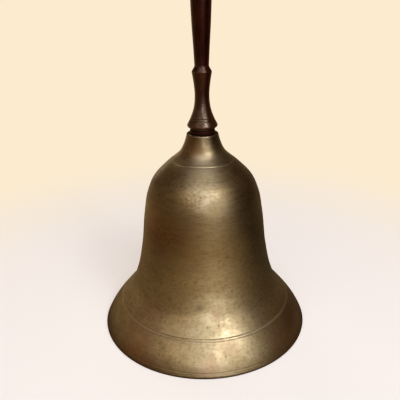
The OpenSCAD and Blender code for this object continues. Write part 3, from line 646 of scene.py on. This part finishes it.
# tie rod: a plain shaft, which starts inside its head, and a round head whose upright section is
# carried across X; in the middle the section is shorter, which leaves the driver slot along Y
rod = {
    "r": 1.5, "top": 193.9, "inHead": 0.5, "endEase": 0.3,
    # the head's edges are eased by a share of the section's half width and height
    "headR": 2.8, "headLow": 75.7, "headHigh": 77.3, "headEase": 0.06, "slotHalf": 0.4, "slotDepth": 0.7,
    "headSteps": 41, "easeSteps": 4, "sides": 40,
}
sweep = rod["headR"] * np.sin(np.linspace(-np.pi / 2, np.pi / 2, rod["headSteps"]))
slotX = rod["slotHalf"] * np.array([-1, -1, 1, 1])
headX = np.concatenate([sweep[sweep < -rod["slotHalf"]], slotX, sweep[sweep > rod["slotHalf"]]])
slotted = np.zeros(len(headX))
slotted[np.searchsorted(headX, -rod["slotHalf"]) + 1:][:2] = rod["slotDepth"]
headY = np.sqrt(np.maximum(rod["headR"] ** 2 - headX ** 2, 0))
section = easedOutline([(-1, 0), (1, 0), (1, 1), (-1, 1)], rod["headEase"], rod["easeSteps"])
sectionY = section[:, 0] * headY[:, None]
sectionLow = (rod["headLow"] + slotted)[:, None]
sectionZ = sectionLow + section[:, 1] * (rod["headHigh"] - sectionLow)
headGrid = np.stack([headX[:, None] + 0 * sectionY, sectionY, sectionZ], axis=-1)
shaftLow = rod["headHigh"] - rod["inHead"]
shaft = easedOutline([(0, shaftLow), (rod["r"], shaftLow), (rod["r"], rod["top"]), (0, rod["top"])],
                     rod["endEase"], rod["easeSteps"], closed=False)
makePiece("rod_drawn", [headGrid, carriedRound(shaft, rod["sides"])], False, drawnSteel, "bell",
          "tie_rod", sharp=35)


# yoke: a flat strap bent into a U. Its section is carried along the U in two mirrored halves,
# which part round the rod's hole in the bridge; each cheek ends in a half round about the pin
yoke = {
    "half": 5.1, "top": 79.4, "bend": 2.6, "thick": 1.8, "halfWidth": 3.7, "pinZ": 72.0, "holeR": 1.56,
    "ease": 0.3, "endSteps": 14, "cheekSteps": 6, "bendSteps": 10, "bridgeSteps": 15, "holeSteps": 12,
    "edgeSteps": 5,
    # what counts as on the bridge's flat, and as on the plane between the halves
    "flatMm": 0.01, "middleMm": 0.001,
}


def yokeHalf(side):
    end = np.linspace(0, np.pi / 2, yoke["endSteps"])
    zEnd = yoke["pinZ"] - yoke["halfWidth"] * np.cos(end)
    bendZ, bendY = yoke["top"] - yoke["bend"], -(yoke["half"] - yoke["bend"])
    zUp = np.concatenate([zEnd, np.linspace(yoke["pinZ"], bendZ, yoke["cheekSteps"])[1:]])
    bend = np.linspace(0, np.pi / 2, yoke["bendSteps"])[1:]
    yTop = np.linspace(bendY, 0, yoke["bridgeSteps"])[1:]
    hole = yoke["holeR"] * np.sin(np.linspace(-np.pi / 2, 0, yoke["holeSteps"]))
    yTop = np.unique(np.concatenate([yTop, hole]))
    # outer face of one cheek, its bend and half of the bridge, with the direction into the strap
    y = np.concatenate([np.full(len(zUp), -yoke["half"]),
                        -yoke["half"] + yoke["bend"] * (1 - np.cos(bend)), yTop])
    z = np.concatenate([zUp, yoke["top"] - yoke["bend"] * (1 - np.sin(bend)),
                        np.full(len(yTop), yoke["top"])])
    inY = np.concatenate([np.ones(len(zUp)), np.cos(bend), np.zeros(len(yTop))])
    inZ = np.concatenate([np.zeros(len(zUp)), -np.sin(bend), -np.ones(len(yTop))])
    # then the other half of the U, which mirrors Y
    there = np.stack([y, z, inY, inZ])
    y, z, inY, inZ = np.hstack([there, there[:, -2::-1] * np.array([[-1], [1], [-1], [1]])])
    width = np.sqrt(np.maximum(yoke["halfWidth"] ** 2 - np.maximum(yoke["pinZ"] - z, 0) ** 2, 0))
    onBridge = z > yoke["top"] - yoke["flatMm"]
    gap = np.where(onBridge, np.sqrt(np.maximum(yoke["holeR"] ** 2 - y ** 2, 0)), 0)
    ease = np.minimum(yoke["ease"], easeShare * width)
    turn = np.linspace(-np.pi / 2, 0, yoke["edgeSteps"])
    # section: out along the outer face, round the edge, and back along the inner face
    out = np.column_stack([gap, (gap + width) / 2])
    edgeX = width[:, None] - ease[:, None] * (1 - np.cos(turn))
    edgeIn = ease[:, None] * (1 + np.sin(turn))
    x = np.hstack([out, edgeX, edgeX[:, ::-1], out[:, ::-1]])
    deep = np.hstack([0 * out, edgeIn, yoke["thick"] - edgeIn[:, ::-1], 0 * out + yoke["thick"]])
    return np.stack([side * x, y[:, None] + inY[:, None] * deep, z[:, None] + inZ[:, None] * deep], axis=-1)


# faces on the plane between the halves lie inside the strap
def onMiddlePlane(corners):
    return (np.abs(corners[..., 0]) < yoke["middleMm"]).all(axis=1)


makePiece("yoke_bent", [yokeHalf(1), yokeHalf(-1)], False, turnedBrass, "yoke",
          "clapper_yoke", leaveOut=onMiddlePlane)


# rivet pin across the yoke, with domed heads
pin = {"r": 1.5, "headR": 2.3, "headEdge": 0.15, "cheek": 5.1, "end": 6.0, "domeSteps": 9, "sides": 40}
dome = np.linspace(0, np.pi / 2, pin["domeSteps"])
domeR = pin["headR"] * np.cos(dome)
domeY = pin["cheek"] + pin["headEdge"] + (pin["end"] - pin["cheek"] - pin["headEdge"]) * np.sin(dome)
domeR[-1] = 0
pinHalf = np.vstack([[(pin["r"], 0), (pin["r"], pin["cheek"]), (pin["headR"], pin["cheek"])],
                     np.column_stack([domeR, domeY])])
pinOutline = np.vstack([pinHalf[::-1] * np.array([1, -1]), pinHalf[1:]])
pinCentre = (0, 0, yoke["pinZ"])
makePiece("pin_riveted", [carriedRound(pinOutline, pin["sides"], "y", pinCentre)], False, drawnSteel, "yoke",
          "yoke_pin")

# two thin washers on the pin, inside the cheeks
cheek = {"r": 2.8, "holeR": 1.56, "low": 2.8, "high": 3.3, "ease": 0.1, "easeSteps": 4, "sides": 48}
cheekOutline = easedOutline([(cheek["holeR"], cheek["low"]), (cheek["r"], cheek["low"]),
                             (cheek["r"], cheek["high"]), (cheek["holeR"], cheek["high"])],
                            cheek["ease"], cheek["easeSteps"])
cheekGrids = [carriedRound(cheekOutline * np.array([1, side]), cheek["sides"], "y", pinCentre)
              for side in (1, -1)]
makePiece("cheek_discs", cheekGrids, True, turnedBrass, "yoke", "cheek_washers")


# clapper shank: a forged rod that swells into its barrel eye, with a collar on the ball and a
# riveted end below it
shank = {
    "r": 1.75, "rivetR": 2.5, "rivetTop": 6.0, "rivetEdge": 0.2, "rivetDome": 0.8,
    "collarR": 3.0, "collarLow": 23.0, "collarTop": 24.6, "collarSlope": 0.5, "collarEase": 0.4,
    "plainFrom": 26.6, "swellLow": 63.5, "swellTop": 69.9, "swellR": 2.45,
    "eyeR": 3.0, "eyeBore": 1.56, "eyeHalf": 2.65, "eyeEase": 0.35,
    "rivetSteps": 8, "rodSteps": 40, "sides": 40, "eyeSides": 56,
}
rivet = np.linspace(0, np.pi / 2, shank["rivetSteps"])
rivetLine = np.column_stack([shank["rivetR"] * np.sin(rivet),
                             shank["rivetTop"] - shank["rivetEdge"] - shank["rivetDome"] * np.cos(rivet)])
collar = easedOutline([(shank["r"], shank["rivetTop"]), (shank["r"], shank["collarLow"]),
                       (shank["collarR"], shank["collarLow"]), (shank["collarR"], shank["collarTop"]),
                       (shank["r"], shank["collarTop"] + shank["collarSlope"]),
                       (shank["r"], shank["plainFrom"])], shank["collarEase"], closed=False)
rodZ = np.linspace(shank["plainFrom"], shank["swellTop"], shank["rodSteps"])
rise = np.clip((rodZ - shank["swellLow"]) / (shank["swellTop"] - shank["swellLow"]), 0, 1)
rodR = shank["r"] + (shank["swellR"] - shank["r"]) * rise ** 2 * (3 - 2 * rise)
shankLine = np.vstack([rivetLine, [(shank["rivetR"], shank["rivetTop"])], collar,
                       np.column_stack([rodR, rodZ])[1:], [(0, shank["swellTop"])]])
eyeLine = easedOutline([(shank["eyeBore"], -shank["eyeHalf"]), (shank["eyeR"], -shank["eyeHalf"]),
                        (shank["eyeR"], shank["eyeHalf"]), (shank["eyeBore"], shank["eyeHalf"])],
                       shank["eyeEase"])
eyeGrid = carriedRound(np.vstack([eyeLine, eyeLine[:1]]), shank["eyeSides"], "y", pinCentre)
makePiece("shank_forged", [carriedRound(shankLine, shank["sides"]), eyeGrid], False, forgedIron, "clapper",
          "clapper_shank")


# clapper ball: turned, with a flat at each end where the shank passes through
ball = {"r": 9.0, "z": 14.5, "flat": 8.5, "boreR": 1.75, "arcSteps": 60, "sides": 96}
flatAngle = math.asin(ball["flat"] / ball["r"])
ballArc = np.linspace(-flatAngle, flatAngle, ball["arcSteps"])
ballLine = np.vstack([[(ball["boreR"], -ball["flat"])],
                      np.column_stack([ball["r"] * np.cos(ballArc), ball["r"] * np.sin(ballArc)]),
                      [(ball["boreR"], ball["flat"])]]) + np.array([0, ball["z"]])
makePiece("ball_turned", [carriedRound(ballLine, ball["sides"])], True, turnedBrass, "clapper",
          "clapper_ball", sharp=50)


# camera: the photograph's view, worked out for a 400 pixel frame; place and nearest in mm
view = {"lens": 45, "place": (-0.3, -222.6, 157.0), "pitch": 67.35, "roll": 0.8, "nearest": 10}
camera = bpy.data.objects.new("camera", bpy.data.cameras.new("camera"))
bpy.context.collection.objects.link(camera)
camera.data.lens = view["lens"]
camera.data.clip_start = view["nearest"] * mm
camera.location = [v * mm for v in view["place"]]
camera.rotation_euler = (math.radians(view["pitch"]), math.radians(view["roll"]), 0)
bpy.context.scene.camera = camera

# studio, in metres: a pale floor in a dim room, soft lamps of which the strongest stand right of the
# camera and above, weaker warm ones left and behind, and one under the floor for the bell's inside
studio = {
    "floor": "#c8c1ba", "floorHalf": 60, "nearGlow": 0.62, "nearM": 0.1, "farM": 0.28,
    "lipM": 0.051, "lipShadeM": 0.005, "mouthM": 0.044,
    "room": "#463315", "backdrop": "#d7cbb7",
    # what the bell mirrors of the floor: warm, brighter on the left, behind, and in front under the key
    "mirrored": "#ffe9c2", "mirroredLeft": 0.3, "leftFrom": 0.05, "leftTo": -0.25,
    "mirroredBack": 0.26, "backM": 0.2, "sheen": 0.76, "sheenAt": (0.06, -0.2, 0), "sheenM": 0.25,
    "cool": "#e7f0ff", "cold": "#dae7ff", "warm": "#fff6ec", "lampM": 1.3, "aimM": 0.06,
    # lamps: degrees right of the camera, elevation, width and height in m, radiance, tint
    "lamps": {
        "key": (27, 40, 0.5, 0.48, 2.0, "cool"),
        "hot": (33, 38, 0.15, 0.15, 14, "cool"),
        "keyMid": (7, 18, 0.3, 0.26, 9, "cold"),
        "keyRight": (40, 41, 0.4, 0.42, 3.0, "cool"),
        "keyRightLow": (40, 16, 0.5, 0.7, 1.2, "cool"),
        "keyLow": (20, 4, 0.5, 0.36, 1.8, "cool"),
        "front": (0, 13, 0.5, 0.7, 0.36, "cool"),
        "high": (4, 61, 0.9, 0.41, 3.0, "cold"),
        "highLeft": (-45, 60, 0.5, 0.42, 0.95, "cold"),
        "fill": (-20, 24, 0.5, 0.42, 1.0, "warm"),
        "fillLeft": (-45, 33, 0.5, 0.86, 0.67, "warm"),
        "left": (-80, 20, 0.5, 0.6, 0.42, "warm"),
        "leftLow": (-113, 14, 0.7, 0.6, 0.24, "warm"),
        "backLeft": (-150, 42, 0.5, 0.42, 1.4, "warm"),
        "backLow": (-150, 6, 0.5, 0.42, 0.5, "warm"),
        "backHigh": (160, 60, 0.5, 0.42, 1.2, "cool"),
        "backRight": (145, 6, 0.9, 0.42, 0.12, "warm"),
        "right": (100, 18, 0.7, 0.5, 0.08, "warm"),
        "top": (150, 83, 0.46, 0.46, 0.95, "cool"),
        "under": (0, -90, 0.5, 0.5, 26, "warm"),
    },
}
floorMesh = bpy.data.meshes.new("floor")
far = studio["floorHalf"]
floorMesh.from_pydata([(-far, -far, 0), (far, -far, 0), (far, far, 0), (-far, far, 0)], [], [(0, 1, 2, 3)])
floor = bpy.data.objects.new("floor", floorMesh)
bpy.context.collection.objects.link(floor)
floorPaint, tree = newMaterial("paleFloor")
floorPlace = addNode(tree, "TexCoord", {}, "Object")
seen = addNode(tree, "LightPath", {}, "Is Camera Ray")
inGloss = seen.node.outputs["Is Glossy Ray"]
# the camera sees the floor brighter than the lamps make it, so that shadows stay soft, and far away
# as the backdrop
floorShade = addNode(tree, "BsdfDiffuse", {"Color": studio["floor"]})
nearStrength = addNode(tree, "Math", {0: seen, 1: studio["nearGlow"]}, operation="MULTIPLY")
nearGlow = addNode(tree, "Emission", {"Color": studio["floor"], "Strength": nearStrength})
nearFloor = addNode(tree, "AddShader", {0: floorShade, 1: nearGlow})
farFloor = addNode(tree, "Emission", {"Color": studio["backdrop"], "Strength": seen})
fromAxis = addNode(tree, "VectorMath", {0: floorPlace}, "Value", operation="LENGTH")
farShare = addNode(tree, "MapRange", {
    "Value": fromAxis, "From Min": studio["nearM"], "From Max": studio["farM"]},
    interpolation_type="SMOOTHSTEP")
floorSeen = addNode(tree, "MixShader", {0: farShare, 1: nearFloor, 2: farFloor})
across = addNode(tree, "SeparateXYZ", {0: floorPlace}, "X")
leftGlow = addNode(tree, "MapRange", {
    "Value": across, "From Min": studio["leftFrom"], "From Max": studio["leftTo"],
    "To Max": studio["mirroredLeft"]})
backGlow = addNode(tree, "MapRange", {
    "Value": across.node.outputs["Y"], "From Max": studio["backM"], "To Max": studio["mirroredBack"]})
fromSheen = addNode(tree, "VectorMath", {
    0: floorPlace, 1: studio["sheenAt"]}, "Value", operation="DISTANCE")
sheenGlow = addNode(tree, "MapRange", {
    "Value": fromSheen, "From Max": studio["sheenM"], "To Min": studio["sheen"], "To Max": 0.0})
sideAndBack = addNode(tree, "Math", {0: leftGlow, 1: backGlow}, operation="ADD")
mirroredGlow = addNode(tree, "Math", {0: sideAndBack, 1: sheenGlow}, operation="ADD")
# the floor close to the lip is in the bell's own shadow
offLip = addNode(tree, "MapRange", {
    "Value": fromAxis, "From Min": studio["lipM"], "From Max": studio["lipM"] + studio["lipShadeM"]})
mirroredGlow = addNode(tree, "Math", {0: mirroredGlow, 1: offLip}, operation="MULTIPLY")
mirrored = addNode(tree, "Emission", {"Color": studio["mirrored"], "Strength": mirroredGlow})
floorMix = addNode(tree, "MixShader", {0: inGloss, 1: floorSeen, 2: mirrored})
# seen from below the floor is clear, and the lamp under it shines through it into the bell's mouth
fromBelow = addNode(tree, "NewGeometry", {}, "Backfacing")
inMouth = addNode(tree, "Math", {0: fromAxis, 1: studio["mouthM"]}, operation="LESS_THAN")
lampThrough = addNode(tree, "Math", {
    0: seen.node.outputs["Is Shadow Ray"], 1: inMouth}, operation="MULTIPLY")
cleared = addNode(tree, "Math", {0: fromBelow, 1: lampThrough}, operation="MAXIMUM")
clear = addNode(tree, "BsdfTransparent", {})
floorFromAbove = addNode(tree, "MixShader", {0: cleared, 1: floorMix, 2: clear})
addNode(tree, "OutputMaterial", {"Surface": floorFromAbove})
floorMesh.materials.append(floorPaint)

for name, (azimuth, elevation, width, height, radiance, tint) in studio["lamps"].items():
    light = bpy.data.lights.new(name, "AREA")
    light.shape = "RECTANGLE"
    light.size, light.size_y = width, height
    light.energy = radiance * math.pi * width * height
    light.color = hexLinear(studio[tint])[:3]
    lamp = bpy.data.objects.new(name, light)
    bpy.context.collection.objects.link(lamp)
    a, e = math.radians(azimuth), math.radians(elevation)
    out = studio["lampM"] * math.cos(e)
    lamp.location = (out * math.sin(a), -out * math.cos(a), studio["aimM"] + studio["lampM"] * math.sin(e))
    # an area light shines along its own -Z
    lamp.rotation_euler = (math.radians(90) - e, 0, a)
    lamp.visible_camera = False

world = bpy.data.worlds.new("studio")
world.use_nodes = True
tree = world.node_tree
tree.nodes.clear()
seen = addNode(tree, "LightPath", {}, "Is Camera Ray")
room = addNode(tree, "Background", {"Color": studio["room"]})
backdrop = addNode(tree, "Background", {"Color": studio["backdrop"]})
roomOrBackdrop = addNode(tree, "MixShader", {0: seen, 1: room, 2: backdrop})
addNode(tree, "OutputWorld", {"Surface": roomOrBackdrop})
bpy.context.scene.world = world
bpy.context.scene.view_settings.view_transform = "Standard"
bpy.context.scene.view_settings.look = "High Contrast"
print("camera and studio set")
